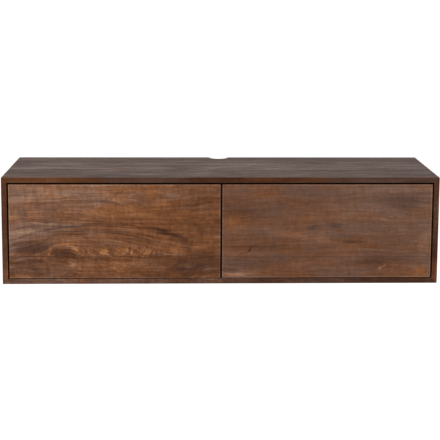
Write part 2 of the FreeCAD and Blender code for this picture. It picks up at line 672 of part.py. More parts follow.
def latch(side, sign):
    """A push latch under the top: a housing, its plunger, and the strike plate that the plunger meets."""
    x = f"{sign} * flap_middle"
    housing_at = (f"{x} - latch_width / 2", "latch_y", "top_under - latch_height")
    housing = block(("latch_width", "latch_length", "latch_height"), housing_at)
    name = f"latch_housing_{side}"
    pieces[name] = housing
    bore = rod("plunger_radius + plunger_play", "plunger_length", (x, "latch_y", "latch_z"), "+y")
    holes[name].append(bore)
    for step in (-1, 1):
        y = f"latch_y + latch_length / 2 + {step} * latch_screw_pitch / 2"
        at = (f"{x} + {step} * latch_screw_offset", y, "top_under - latch_height")
        wood_screw("latch_screws", at, "+z", "latch_screw_grip", "latch_height", (name, "top_panel"))

    plunger = rod("plunger_radius", "plunger_length", (x, "plunger_y", "latch_z"), "+y")
    pieces[f"latch_plunger_{side}"] = plunger
    strike = f"strike_plate_{side}"
    pieces[strike] = rod("strike_radius", "strike_plate", (x, "flap_inner", "latch_z"), "+y")
    at = (x, "flap_inner + strike_plate", "latch_z")
    through = (strike, f"flap_{side}")
    wood_screw(f"strike_screw_{side}", at, "-y", "strike_screw_grip", "strike_plate", through)


case_boards()
back_grooves()
mitre_tongues()
partition()
back_panels()
hanging_rails()
cleats()
for flap_side, flap_sign in SIDES.items():
    flap(flap_side, flap_sign)
    hinges(flap_side, flap_sign)
    side_face = f"{flap_sign} * inner_half"
    partition_face = f"{flap_sign} * partition_board / 2"
    stay(f"{flap_side}_outer", flap_side, f"side_panel_{flap_side}", side_face, -flap_sign)
    stay(f"{flap_side}_inner", flap_side, "centre_partition", partition_face, flap_sign)
    latch(flap_side, flap_sign)

nodes = {}
for name, piece in pieces.items():
    nodes[name] = carved(piece, holes[name])
for name, solids in groups.items():
    nodes[name] = grouped(solids)
for name, node in nodes.items():
    node.Label = name
doc.recompute()

for item in doc.Objects:
    if "Invalid" in item.State or "Error" in item.State:
        raise RuntimeError(f"{item.Name} ({item.Label}) is {item.State}")
for name, node in nodes.items():
    if node.Label != name:
        raise RuntimeError(f"{name} is labelled {node.Label}")
    if node.Shape.isNull() or not node.Shape.isValid() or node.Shape.Volume <= 0:
        raise RuntimeError(f"{name} has no sound shape")

os.makedirs("parts", exist_ok=True)
for name, node in sorted(nodes.items()):
    node.Shape.exportStep(f"parts/{name}.step")
    print(f"{name}: {len(node.Shape.Solids)} solids, {node.Shape.Volume / 1000:.1f} cm3")
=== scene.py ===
import json
import math

import bmesh
import bpy
import numpy as np
from mathutils import Matrix, Vector


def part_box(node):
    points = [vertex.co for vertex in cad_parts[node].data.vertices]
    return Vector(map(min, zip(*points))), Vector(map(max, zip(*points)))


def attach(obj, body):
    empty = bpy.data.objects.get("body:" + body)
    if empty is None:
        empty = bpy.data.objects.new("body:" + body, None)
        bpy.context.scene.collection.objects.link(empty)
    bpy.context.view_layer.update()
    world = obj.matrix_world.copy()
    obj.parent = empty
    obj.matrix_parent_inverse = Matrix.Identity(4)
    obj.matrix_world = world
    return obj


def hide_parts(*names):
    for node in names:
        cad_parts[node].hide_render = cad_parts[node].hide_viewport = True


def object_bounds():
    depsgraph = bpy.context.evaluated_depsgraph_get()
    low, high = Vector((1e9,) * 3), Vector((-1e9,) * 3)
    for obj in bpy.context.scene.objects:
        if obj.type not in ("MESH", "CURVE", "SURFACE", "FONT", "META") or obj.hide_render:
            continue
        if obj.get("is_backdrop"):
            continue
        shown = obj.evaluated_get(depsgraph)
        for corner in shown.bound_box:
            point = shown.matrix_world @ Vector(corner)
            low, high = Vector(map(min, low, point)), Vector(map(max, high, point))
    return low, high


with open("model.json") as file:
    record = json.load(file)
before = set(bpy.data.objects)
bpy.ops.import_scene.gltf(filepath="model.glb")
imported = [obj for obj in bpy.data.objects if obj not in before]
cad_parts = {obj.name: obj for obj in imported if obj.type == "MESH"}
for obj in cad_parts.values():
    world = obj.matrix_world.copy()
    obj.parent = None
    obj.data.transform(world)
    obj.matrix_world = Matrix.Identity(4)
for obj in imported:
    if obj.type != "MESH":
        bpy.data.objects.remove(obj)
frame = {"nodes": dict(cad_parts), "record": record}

# Floating media console of walnut-stained mango wood: its finishes, its small fittings and the studio.
# Metres; x runs along the case, y to the wall, z up. Sizes in a wood's figure are in mm, as a joiner's are.

CAD_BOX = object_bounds()
FRONT = CAD_BOX[0][1]
NODES, RECORD = frame["nodes"], frame["record"]
SLOT_OF = {part["node"]: part["material_slot"] for part in RECORD["subparts"]}
BODY_OF = {node: body for body, nodes in RECORD["behaviour"]["bodies"].items() for node in nodes}
MM = 0.001


# ---------------------------------------------------------------- nodes and colours

# Sockets of a Mix node of colours: the upper colour's part, the two colours, and the output.
PART, UNDER, OVER, MIXED = 0, 6, 7, 2


def linear(code):
    """Linear light of an sRGB hex colour.

    A channel c up to 0.04045 becomes c / 12.92, and above that ((c + 0.055) / 1.055) ^ 2.4.
    """
    channels = [int(code[place : place + 2], 16) / 255 for place in (1, 3, 5)]
    return [c / 12.92 if c <= 0.04045 else ((c + 0.055) / 1.055) ** 2.4 for c in channels] + [1.0]


def add(tree, kind, plugs=(), out=0, stops=(), **settings):
    """Adds one node and returns its output.

    plugs are values or other nodes' outputs, by place or by name, and stops are a ramp's places and colours.
    """
    made = tree.nodes.new("ShaderNode" + kind)
    for name, value in settings.items():
        setattr(made, name, value)
    for socket, value in plugs.items() if isinstance(plugs, dict) else enumerate(plugs):
        if isinstance(value, bpy.types.NodeSocket):
            tree.links.new(value, made.inputs[socket])
        elif value is not None:
            made.inputs[socket].default_value = value
    for number, (place, code) in enumerate(stops):
        ends = made.color_ramp.elements
        stop = ends[number] if number < 2 else ends.new(place)
        stop.position, stop.color = place, linear(code)
    return made.outputs[out] if len(made.outputs) else None


def finish_of(name, lay, **constants):
    """A material: lay(tree) lays its pattern and returns what drives the surface; constants are the rest."""
    made = bpy.data.materials.new(name)
    made.use_nodes = True
    tree = made.node_tree
    tree.nodes.clear()
    plugs = {word.replace("_", " "): value for word, value in constants.items()}
    plugs.update(lay(tree))
    add(tree, "OutputMaterial", [add(tree, "BsdfPrincipled", plugs)])
    return made


# ---------------------------------------------------------------- stained mango wood

# How a board is cut: the turn that lays its grain along the first axis, its thickness along the second and
# its width along the third. A form as thick as THROUGH, in mm, runs right through any board.
ON_FACE, LYING, STANDING = (0, 0, 0), (math.pi / 2, 0, 0), (math.pi / 2, 0, math.pi / 2)
THROUGH = 1e6

# Walnut stain from the darkest line to the palest: over rich heartwood, over greyer sapwood, and on the
# top, warm in the dark lines and ashen in the pale ones, whose ashen grey is painted sheen.
HEARTWOOD = [(0.0, "#33180a"), (0.3, "#4d2b12"), (0.5, "#643c20"), (0.7, "#7c4f2d"), (1.0, "#9e7050")]
SAPWOOD = [(0.0, "#301e16"), (0.3, "#463026"), (0.5, "#5b4134"), (0.7, "#735645"), (1.0, "#937562")]
TOP_STAIN_AND_SHEEN = [(0.0, "#3e1a06"), (0.3, "#522e18"), (0.5, "#604331"), (0.7, "#6f574e"), (1.0, "#847270")]
# pores, and the glue lines' dark, which also paints the shade of the gaps on a flap's narrow edges
PORE, SEAM_AND_GAP_SHADE = "#20140e", "#1d120c"

# Growth figure, drawn along the grain and across the rings: length and width of its marks in mm, detail and
# roughness of the noise, and how much it lightens and darkens; 0 leaves a figure out, and None only colours.
# Fibres and pores are really 0.1 to 0.3 mm wide. They are drawn 1.3 and 0.5 mm wide, as coarse as they need
# to show.
GROWTH = {
    "bands": ((500, 22, 1), 3, 0.65, 0.5),
    "seasons": ((190, 9, 1), 2, 0.6, 0.45),
    "lines": ((75, 4.5, 1), 3, 0.65, 0.58),
    "fibres": ((26, 1.3, 1), 2, 0.6, 0.7),
    "slabs": ((900, 42, 1), 2, 0.6, 0.15),
    "curls": ((110, 15, 1), 3, 0.6, 0.0),
    "pores": ((9, 0.5, 1), 1, 0.5, None),
    "patches": ((70, 20, 1), 3, 0.6, None),
    "tints": ((24, 5, 1), 2, 0.6, None),
}
# The same in the board itself, whatever its rings do: length, depth and width of the marks, and the rest.
IN_BOARD = {
    "clouds": ((150, 40, 30), 3, 0.6, 0.15),
    "drift": ((240, 120, 75), 2, 0.55, 0.35),
    "flecks": ((11, 30, 24), 3, 0.65, 0.45),
}


def oval(tree, board, at, size, lean=0.0, bow=None):
    """A soft oval on a board's face: e to the minus squared distance from its centre, in its half lengths.

    With a bow only the oval's outline is left: e to the minus square of (distance - 1) / bow.
    """
    plugs = {
        "Vector": board,
        "Location": (at[0], 0, at[1]),
        "Rotation": (0, -math.radians(lean), 0),
        "Scale": (size[0], THROUGH, size[1]),
    }
    away = add(tree, "Mapping", plugs, vector_type="TEXTURE")
    if bow:
        off = add(tree, "VectorMath", [away], out=1, operation="LENGTH")
        off = add(tree, "Math", [off, 1 / bow, -1 / bow], operation="MULTIPLY_ADD")
        square = add(tree, "Math", [off, off], operation="MULTIPLY")
    else:
        square = add(tree, "VectorMath", [away, away], out=1, operation="DOT_PRODUCT")
    return add(tree, "Math", [1 / math.e, square], operation="POWER")


def stained(tree, tones, patch, *by):
    """Makes a patch paler and warmer: shade and heat each gain their own number times the patch."""
    pairs = zip(by, tones)
    return [add(tree, "Math", [patch, more, tone], operation="MULTIPLY_ADD") for more, tone in pairs]


def grown(tree, board, log, pith, glued, hills):
    """How the tree grew: the grain's coordinates, the waved board, and what lies above the last joint.

    The pith sways by 50 mm in half a metre, and the grain waves by 13 mm in a hand's breadth. Each glued
    stave, which is 1 above its joint and 0 below it, shifts what lies there. A point's ring is its distance
    from the pith less the hills, which lie above the last joint.
    """
    swayed = log
    for lengths, detail, push in (((420, 160, 130), 1, 50), ((90, 60, 26), 2, 13)):
        scaled = add(tree, "VectorMath", [log, [1 / length for length in lengths]], operation="MULTIPLY")
        plugs = {"Vector": scaled, "Scale": 1, "Detail": detail, "Roughness": 0.55}
        lumps = add(tree, "TexNoise", plugs, out=1)
        swayed = add(tree, "VectorMath", [lumps, (0, push, push), swayed], operation="MULTIPLY_ADD")
    # marks are pushed by the last wave too, 30 mm along and 7 mm across, so none is a plain oval
    waved = add(tree, "VectorMath", [lumps, (60, 0, 14), board], operation="MULTIPLY_ADD")
    waved = add(tree, "VectorMath", [waved, (30, 0, 7)], operation="SUBTRACT")
    above = 1.0
    for above, shift in glued:
        strip = add(tree, "CombineXYZ", [above, above, above])
        swayed = add(tree, "VectorMath", [strip, shift, swayed], operation="MULTIPLY_ADD")
    # both pushes together move a point by some 30 mm on average, and the pith moves with it
    middle = 0, pith[0] + 30, pith[1] + 30
    disc = add(tree, "VectorMath", [swayed, (0, 1, 1)], operation="MULTIPLY")
    ring = add(tree, "VectorMath", [disc, middle], out=1, operation="DISTANCE")
    for at, size, lean, height in hills:
        hill = add(tree, "Math", [oval(tree, board, at, size, lean), above], operation="MULTIPLY")
        ring = add(tree, "Math", [hill, -height, ring], operation="MULTIPLY_ADD")
    return add(tree, "CombineXYZ", [add(tree, "SeparateXYZ", [swayed]), ring, 0]), waved, above


def figured(tree, grain, log, tones, depth, tint, shares):
    """Lays each figure over a board: its share of (noise - 0.5), so that it darkens as much as it lightens.

    Warmth varies with the patches, the tints and a slow drift. Returns the noises and the tones.
    """
    shade, heat = tones
    noise = {}
    for along, kinds in ((grain, GROWTH), (log, IN_BOARD)):
        for word, (lengths, detail, roughness, share) in kinds.items():
            share = shares.get(word, share)
            if share == 0:
                continue
            scale = [1 / length for length in lengths]
            scaled = add(tree, "VectorMath", [along, scale], operation="MULTIPLY")
            plugs = {"Vector": scaled, "Scale": 1, "Detail": detail, "Roughness": roughness}
            noise[word] = add(tree, "TexNoise", plugs)
            if share:
                shade = add(tree, "Math", [noise[word], share * depth, shade], operation="MULTIPLY_ADD")
                shade = add(tree, "Math", [shade, share * depth / 2], operation="SUBTRACT")
    drift = add(tree, "SeparateColor", [noise["drift"].node.outputs[1]], out=1)
    for part, share in ((noise["patches"], 1.6 * tint), (noise["tints"], 1.5 * tint), (drift, 2.4)):
        heat = add(tree, "Math", [part, share, heat], operation="MULTIPLY_ADD")
        heat = add(tree, "Math", [heat, share / 2], operation="SUBTRACT")
    return noise, [shade, heat]


def marked(tree, board, waved, above, tones, marks, bows, flames):
    """Lays knots, streaks and patches over a board, then the arches round a knot, and flame figure."""
    for at, size, lean, *by in marks:
        tones = stained(tree, tones, oval(tree, waved, at, size, lean), *by)
    for at, size, lean, width, *by in bows:
        arch = add(tree, "Math", [oval(tree, waved, at, size, lean, width), above], operation="MULTIPLY")
        tones = stained(tree, tones, arch, *by)
    for at, size, turn, lean, paler in flames:
        # licks 38 mm long and 8 mm wide that lean, pale and warm with darker wood between
        plugs = {"Vector": waved, "Rotation": (0, -math.radians(lean), 0), "Scale": (38, 30, 8)}
        leaning = add(tree, "Mapping", plugs, vector_type="TEXTURE")
        licks = add(tree, "TexNoise", {"Vector": leaning, "Scale": 1, "Detail": 2, "Roughness": 0.55})
        licks = add(tree, "MapRange", [licks, 0.42, 0.62, -0.5, 1])
        licks = add(tree, "Math", [licks, oval(tree, board, at, size, turn)], operation="MULTIPLY")
        tones = stained(tree, tones, licks, paler, 0.5)
    return tones


def past_outline(tree, board, face):
    """How far a point lies past the outline of a face, in mm, and below zero inside it."""
    low, high = face
    centre = [(high[axis] + low[axis]) / 2 / MM for axis in range(3)]
    half = [(high[axis] - low[axis]) / 2 / MM for axis in range(3)]
    off = add(tree, "VectorMath", [board, centre], operation="SUBTRACT")
    off = add(tree, "VectorMath", [off], operation="ABSOLUTE")
    off = add(tree, "SeparateXYZ", [add(tree, "VectorMath", [off, half], operation="SUBTRACT")])
    return add(tree, "Math", [off, off.node.outputs[2]], operation="MAXIMUM")


def mango(name, cut, pith, lot=0, staves=(), hills=(), marks=(), bows=(), flames=(), lively=(), tone=0.4,
          warm=0.0, depth=1.0, tint=1.0, shares=(), face=None, edge=None, upper_tint=None, gloss=0.12):
    """Mango wood, planed and sanded, wiped with walnut stain and sealed with satin lacquer.

    To the eye: dark walnut brown that runs from orange heartwood to greyer sapwood, fine broken lines, and a
    low, even sheen. Rings are cylinders round a pith that sways; hills are the knots and crotches that bend
    them, and staves are the glued strips, each from another part of the tree. Growth figure is noise along
    the grain and across the rings.

    cut is how the board lies, pith the tree's middle in depth and height, and lot a shift along the trunk.
    staves: height of the lower joint, shift, paler by. hills: centre, half lengths, lean, height.
    marks: centre, half lengths, lean, paler by, warmer by. bows: as marks, with the line's width after lean.
    flames: centre, half lengths, turn, lean of the licks, paler by. lively: centre, half lengths, strength.
    tone and warm are the board's own shade and warmth, depth and tint scale how much both vary, and shares
    gives some figures another strength. face is the box of a flap, whose arrises are worn and carry a
    painted highlight, and whose narrow edges carry painted shade from the gaps. edge: y of a front edge,
    share of the figure left on it, paler by, warmer by. upper_tint is the tint that darkens an upper face
    whose ashen pale lines are painted sheen, and gloss the lacquer's strength.
    """

    def lay(tree):
        place = add(tree, "TexCoord", out=3)
        board = add(tree, "Mapping", {"Vector": place, "Rotation": cut, "Scale": (1000, 1000, 1000)})
        across = add(tree, "SeparateXYZ", [board], out=2)
        log = add(tree, "VectorMath", [board, (lot, 0, 0)])
        shade, glued = tone, []
        for joint, shift, paler in staves:
            stave = add(tree, "Math", [across, joint], operation="GREATER_THAN")
            shade = add(tree, "Math", [stave, paler, shade], operation="MULTIPLY_ADD")
            glued.append((stave, shift))
        grain, waved, above = grown(tree, board, log, pith, glued, hills)
        noise, (shade, heat) = figured(tree, grain, log, (shade, warm), depth, tint, dict(shares))
        if edge:
            # fore is 1 on the board's front edge, up to 1.6 mm behind it, and 0 from 2.8 mm behind it
            front, keep, level, warmer = edge
            fore = add(tree, "SeparateXYZ", [place], out=1)
            fore = add(tree, "MapRange", [fore, front + 2.8 * MM, front + 1.6 * MM, 0, 1])
            held = add(tree, "Math", [shade, keep - 1, level], operation="MULTIPLY_ADD")
            shade, heat = stained(tree, (shade, heat), fore, held, warmer)
        tones = marked(tree, board, waved, above, (shade, heat), marks, bows, flames)
        for at, size, stronger in lively:
            # here the seasons stand out
            curl = add(tree, "Math", [noise["seasons"], stronger, -stronger / 2], operation="MULTIPLY_ADD")
            tones = stained(tree, tones, curl, oval(tree, board, at, size), 0)
        if face:
            # 5 mm beside the arrises is rubbed paler and greyer, partly wear and partly a painted highlight;
            # the narrow edges are painted nearly black as the shade in the gaps
            past = past_outline(tree, board, face)
            worn_and_highlight = add(tree, "MapRange", [past, -5.0, -2.4, 0, 1])
            gap_shade = add(tree, "MapRange", [past, -1.8, -0.6, 0, 1])
            tones = stained(tree, tones, worn_and_highlight, 0.22, -0.3)
            tones = stained(tree, tones, gap_shade, -1.3, 0)

        # from 0, sapwood, to 1, heartwood: the darker the stain, the warmer it is
        shade, heat = tones
        heat = add(tree, "Math", [shade, -1.0, heat], operation="MULTIPLY_ADD")
        heat = add(tree, "Math", [heat, 0.95], operation="ADD", use_clamp=True)
        sap, heart = (add(tree, "ValToRGB", [shade], stops=stain) for stain in (SAPWOOD, HEARTWOOD))
        colour = add(tree, "Mix", {PART: heat, UNDER: sap, OVER: heart}, out=MIXED, data_type="RGBA")
        if upper_tint:
            # the upper face is darker, and its pale lines are made ashen by painted sheen; its front edge is
            # not
            stain_and_sheen = add(tree, "ValToRGB", [shade], stops=TOP_STAIN_AND_SHEEN)
            stain_and_sheen = add(tree, "Mix", {PART: heat, UNDER: stain_and_sheen, OVER: heart}, out=MIXED, data_type="RGBA")
            stain_and_sheen = add(tree, "VectorMath", [stain_and_sheen, linear(upper_tint)[:3]], operation="MULTIPLY")
            colour = add(tree, "Mix", {PART: fore, UNDER: stain_and_sheen, OVER: colour}, out=MIXED, data_type="RGBA")
        # a glue line 1.6 mm wide at each joint, and painted shade from the gaps on the narrow edges
        lines = [(add(tree, "Math", [across, joint, 0.8], operation="COMPARE"), 0.4) for joint, *_ in staves]
        if face:
            lines.append((gap_shade, 0.8))
        lines = [(add(tree, "Math", line, operation="MULTIPLY"), SEAM_AND_GAP_SHADE) for line in lines]
        pores = add(tree, "MapRange", [noise["pores"], 0.6, 0.74, 0, 0.45])
        for part, dark in (*lines, (pores, PORE)):
            plugs = {PART: part, UNDER: colour, OVER: linear(dark)}
            colour = add(tree, "Mix", plugs, out=MIXED, data_type="RGBA")
        rough = add(tree, "MapRange", [noise["fibres"], 0.3, 0.7, 0.46, 0.58])
        relief = add(tree, "Math", [pores, -1.2, noise["fibres"]], operation="MULTIPLY_ADD")
        normal = add(tree, "Bump", {"Strength": 0.25, "Distance": 0.2 * MM, "Height": relief})
        return {"Base Color": colour, "Roughness": rough, "Normal": normal}

    return finish_of(name, lay, Specular_IOR_Level=gloss)


def left_flap():
    """Two staves; the upper has a knot cut by the joint, with arches over it and flame figure beside it."""
    return mango(
        "mango_left_flap", ON_FACE, (-70, -60), lot=1000, tone=0.35, warm=0.3, depth=0.95,
        face=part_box("flap_left"), staves=[(95.8, (300, 20, 120), 0.15)],
        hills=[
            ((-440, 120), (250, 85), 0, 62),
            ((-516, 98), (62, 36), -8, 32),
            ((-640, 210), (50, 20), 10, 7),
            ((-300, 250), (160, 30), 8, -12),
        ],
        lively=[((-430, 165), (290, 55), 0.5)],
        bows=[
            ((-519, 91), (58, 41), -10, 0.1, 0.28, 0.5),  # a pale arch close to the knot, then dark ones
            ((-500, 92), (118, 78), -5, 0.05, -0.1, 0.0),
            ((-420, 104), (320, 98), 2, 0.035, -0.16, -0.3),
            ((-460, 104), (250, 76), 0, 0.04, -0.08, -0.2),
        ],
        flames=[
            ((-420, 110), (80, 15), 0, 122, 0.28),  # two stretches on the joint, one far above, one below
            ((-280, 110), (120, 15), 0, 62, 0.28),
            ((-366, 294), (50, 16), 30, 35, 0.16),
            ((-345, 60), (40, 30), 0, 80, 0.12),
        ],
        marks=[
            # painted light from above: the upper edge is paler
            ((-380, 330), (420, 90), 0, 0.12, -0.15),  # paler towards the upper edge
            ((-580, 300), (170, 60), 0, 0.02, -0.3),
            ((-110, 240), (190, 130), 0, -0.16, 0.35),  # heartwood towards the middle of the case
            ((-673, 182), (32, 150), 0, 0.08, -0.4),  # sapwood at the left end
            ((-692, 140), (12, 40), 0, 0.16, 0.0),
            ((-590, 185), (130, 50), 0, 0.03, -0.35),
            ((-570, 212), (110, 24), 0, 0.0, -0.35),
            ((-612, 177), (42, 8), 0, 0.2, 0.0),
            ((-110, 318), (130, 18), 0, 0.0, -0.3),  # greyer bands at the right end
            ((-125, 334), (60, 12), 0, 0.0, -0.3),
            ((-100, 255), (44, 14), 0, 0.0, -0.5),
            ((-600, 294), (90, 10), 7, 0.16, 0.4),  # orange streaks, pale ones first
            ((-266, 240), (55, 14), -5, 0.2, 0.5),
            ((-190, 111), (90, 13), 0, 0.12, 0.3),
            ((-520, 330), (130, 16), 0, 0.0, 0.45),
            ((-360, 290), (110, 35), 0, 0.0, 0.25),
            ((-190, 215), (90, 11), 0, 0.0, 0.35),
            ((-230, 197), (130, 16), 0, 0.0, 0.65),
            ((-210, 178), (50, 9), 0, -0.12, 0.5),
            ((-400, 114), (110, 14), 0, 0.0, 0.35),
            ((-654, 238), (20, 13), 0, -0.14, -0.6),  # small grey-brown blotches
            ((-561, 247), (22, 9), 0, -0.16, -0.5),
            ((-398, 214), (44, 12), 0, -0.14, -0.2),
            ((-376, 178), (34, 9), 0, -0.1, 0.0),
            ((-240, 275), (80, 16), 0, -0.08, 0.2),
            ((-174, 170), (42, 7), -18, -0.28, -0.1),  # dark streaks that run out of the arches
            ((-270, 192), (60, 3.5), -13, -0.2, 0.0),
            ((-215, 188), (55, 3), -16, -0.2, 0.0),
            ((-522, 106), (42, 19), 0, -0.3, -0.4),  # the knot itself, a dark half-moon on the joint
            ((-620, 119), (72, 20), 0, -0.34, -0.5),  # dark wood beside it and at the joint's other end
            ((-585, 134), (60, 11), 0, -0.08, -0.4),
            ((-55, 108), (50, 9), 0, -0.22, 0.0),
            ((-430, 44), (260, 30), 0, 0.07, 0.0),  # the lower stave, dark at both ends
            ((-657, 67), (48, 28), 0, -0.08, -0.3),
            ((-98, 64), (84, 28), 0, -0.14, 0.0),
            ((-300, 30), (330, 22), 0, 0.0, -0.25),  # its greyer and its warmer patches
            ((-385, 52), (70, 14), 0, 0.0, -0.3),
            ((-50, 52), (40, 16), 0, 0.0, -0.35),
            ((-668, 92), (36, 12), 0, 0.14, -0.2),
            ((-300, 60), (110, 30), 0, 0.09, 0.5),
            ((-360, 84), (60, 9), 0, -0.08, 0.35),
            ((-210, 90), (80, 9), 0, 0.03, 0.35),
            ((-455, 52), (50, 16), 0, 0.14, 0.2),
            ((-195, 52), (34, 14), 0, 0.12, 0.0),
            ((-647, 25), (60, 6), 0, 0.15, 0.5),
            ((-495, 67), (9, 7), 0, 0.3, 0.3),  # pale flecks
            ((-101, 60), (11, 6), 0, 0.22, 0.0),
            ((-28, 47), (10, 6), 0, 0.2, 0.0),
        ],
    )


def right_flap():
    """Two calm staves, redder and more even, with two small grey knots and a scratch."""
    return mango(
        "mango_right_flap", ON_FACE, (-90, -160), depth=0.55, tone=0.44, warm=-0.05, tint=0.6,
        face=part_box("flap_right"), staves=[(92, (200, 15, 90), 0.0)],
        marks=[
            ((560, 250), (200, 90), 0, 0.09, -0.4),  # greyer towards the right, darker at the lower left
            ((100, 90), (110, 50), 0, -0.08, 0.1),
            ((60, 255), (70, 32), 0, -0.14, 0.25),
            ((601, 274), (62, 38), 0, -0.18, -0.5),
            ((330, 220), (45, 28), 0, 0.0, -0.3),
            ((40, 318), (80, 16), 0, 0.0, -0.35),
            ((235, 130), (70, 25), 0, 0.0, 0.5),  # orange patches
            ((38, 206), (36, 22), 0, 0.14, 0.8),
            ((667, 43), (30, 18), 0, 0.1, 0.5),
            ((48, 33), (46, 7), 0, 0.24, 0.8),
            ((276, 160), (125, 12), -9, 0.14, 0.3),  # pale bands
            ((98, 101), (90, 9), 0, 0.1, 0.1),
            ((620, 320), (120, 14), 0, 0.14, -0.1),
            ((680, 140), (18, 45), 0, 0.15, 0.0),
            ((70, 33), (60, 14), 0, 0.08, -0.05),
            ((306, 189), (18, 10), 0, -0.14, -0.8),  # two grey knots and a reddish one
            ((376, 196), (18, 10), 0, -0.18, -0.7),
            ((402, 179), (9, 7), 0, -0.05, 1.0),
            ((425, 143), (42, 5), -4, -0.24, -0.1),  # dark streaks
            ((68, 125), (80, 5), 0, -0.15, 0.0),
            ((518, 74), (80, 14), 0, -0.22, 0.0),
            ((420, 156), (110, 14), 0, -0.09, 0.0),
            ((83, 112), (22, 2.2), 34, -0.4, 0.0),  # a scratch, and a pale fleck
            ((540, 58), (3.5, 8), 0, 0.4, 0.0),
        ],
    )


def top_board():
    """Three staves, stained darker than the front, with long streaks whose pale ones are made ashen by
    painted sheen.
    """
    return mango(
        "mango_top", LYING, (-80, -500), tone=0.33, warm=-0.5, depth=1.5, upper_tint="#b8b8b8", gloss=0.082,
        shares={"slabs": 0.9, "clouds": 0.3, "curls": 1.2}, edge=(FRONT, 0.25, 0.11, 0.5),
        hills=[((-430, 20), (240, 120), 0, 45), ((330, -70), (260, 90), 0, -35)],
        staves=[(-60, (300, 20, 120), 0.1), (70, (200, 9, 70), -0.12)],
        marks=[
            # the next three are grain lines made paler and greyer by painted sheen: partly grain, partly
            # painted reflection
            ((170, -108), (300, 9), 0, 0.18, -0.2),  # ashen streaks
            ((430, 95), (260, 9), 0, 0.18, -0.2),
            ((-350, 55), (260, 10), 0, 0.15, -0.2),
            ((-480, -52), (240, 9), 0, -0.35, 0.0),  # dark streaks
            ((520, -64), (240, 8), 0, -0.35, 0.0),
            ((300, 190), (450, 70), 0, -0.3, 0.0),  # darker towards the wall
            ((-620, -200), (130, 8), 0, 0.08, 0.6),  # the front edge, from orange at the left to grey
            ((-250, -200), (140, 8), 0, 0.0, -0.5),
            ((-150, -200), (60, 8), 0, -0.07, -0.3),
            ((-30, -200), (70, 8), 0, -0.2, 0.4),
            ((110, -200), (90, 8), 0, -0.1, 0.8),
            ((235, -200), (90, 8), 0, -0.1, 0.8),
            ((560, -200), (180, 8), 0, 0.02, -1.3),
        ],
    )


def bottom_board():
    """One wide board whose front edge is palest at the left."""
    return mango(
        "mango_bottom", LYING, (90, -300), tone=0.35, warm=-0.2, edge=(FRONT, 1.0, -0.1, 0.0),
        marks=[
            ((-540, -200), (220, 60), 0, 0.26, -0.1),
            ((-440, -200), (70, 8), 0, -0.1, 0.0),
            ((-30, -200), (60, 8), 0, 0.1, 0.0),
            ((180, -200), (70, 8), 0, -0.2, 0.0),
            ((600, -200), (130, 60), 0, -0.2, 0.1),
        ],
    )


def side_board(name, lot, foot):
    """A board with upright grain, orange at the very bottom.

    foot is how much paler and warmer the lower front edge is.
    """
    return mango(
        name, STANDING, (-60, -300), lot=lot, tone=0.3, edge=(FRONT, 1.0, -0.1, 0.0),
        marks=[((34, -200), (40, 60), 0, 0.16, 0.7), ((110, -200), (80, 8), 0, *foot)],
    )


def veneer():
    """Mango veneer with upright grain on the partition, whose front edge is sealed dark."""
    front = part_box("centre_partition")[0][1]
    return mango("mango_veneer", STANDING, (60, -200), tone=0.34, depth=0.8, edge=(front, 1.0, -0.3, 0.0))


# ---------------------------------------------------------------- the other finishes


def plywood():
    """Birch plywood, rotary cut, stained to match and sealed matt.

    To the eye: wide blurred flames on the faces, and five plies of alternate tone round the cable holes.
    """

    def lay(tree):
        place = add(tree, "TexCoord", out=3)
        panel = add(tree, "Mapping", {"Vector": place, "Scale": (1000, 1000, 1000)})
        along, back, up = add(tree, "SeparateXYZ", [panel]).node.outputs
        # rotary-cut flames: level lines 11 mm wide that a slow noise bends up and down by 80 mm
        bends = add(tree, "VectorMath", [panel, (1 / 300, 1 / 300, 1 / 120)], operation="MULTIPLY")
        bends = add(tree, "TexNoise", {"Vector": bends, "Scale": 1, "Detail": 2})
        height = add(tree, "Math", [bends, 160, up], operation="MULTIPLY_ADD")
        flame = add(tree, "CombineXYZ", [along, height, 0])
        flame = add(tree, "VectorMath", [flame, (1 / 260, 1 / 11, 1)], operation="MULTIPLY")
        shade = add(tree, "TexNoise", {"Vector": flame, "Scale": 1, "Detail": 4, "Roughness": 0.6})
        # five plies, the second and fourth darker; the 0.06 keeps the rear face out of a dark ply
        low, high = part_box("back_panel_left")
        ply = (high[1] - low[1]) / 5 / MM
        depth = add(tree, "Math", [back, low[1] / MM], operation="SUBTRACT")
        layer = add(tree, "Math", [depth, 2 * ply], operation="MODULO")
        layer = add(tree, "Math", [layer, 1.06 * ply], operation="GREATER_THAN")
        shade = add(tree, "Math", [layer, -0.3, shade], operation="MULTIPLY_ADD")
        colour = add(tree, "ValToRGB", [shade], stops=[(0.2, "#30201a"), (0.5, "#432c1f"), (0.8, "#563b2b")])
        rough = add(tree, "MapRange", [shade, 0.2, 0.8, 0.56, 0.68])
        normal = add(tree, "Bump", {"Strength": 0.15, "Distance": 0.2 * MM, "Height": shade})
        return {"Base Color": colour, "Roughness": rough, "Normal": normal}

    return finish_of("stained_birch_plywood", lay, Specular_IOR_Level=0.2)


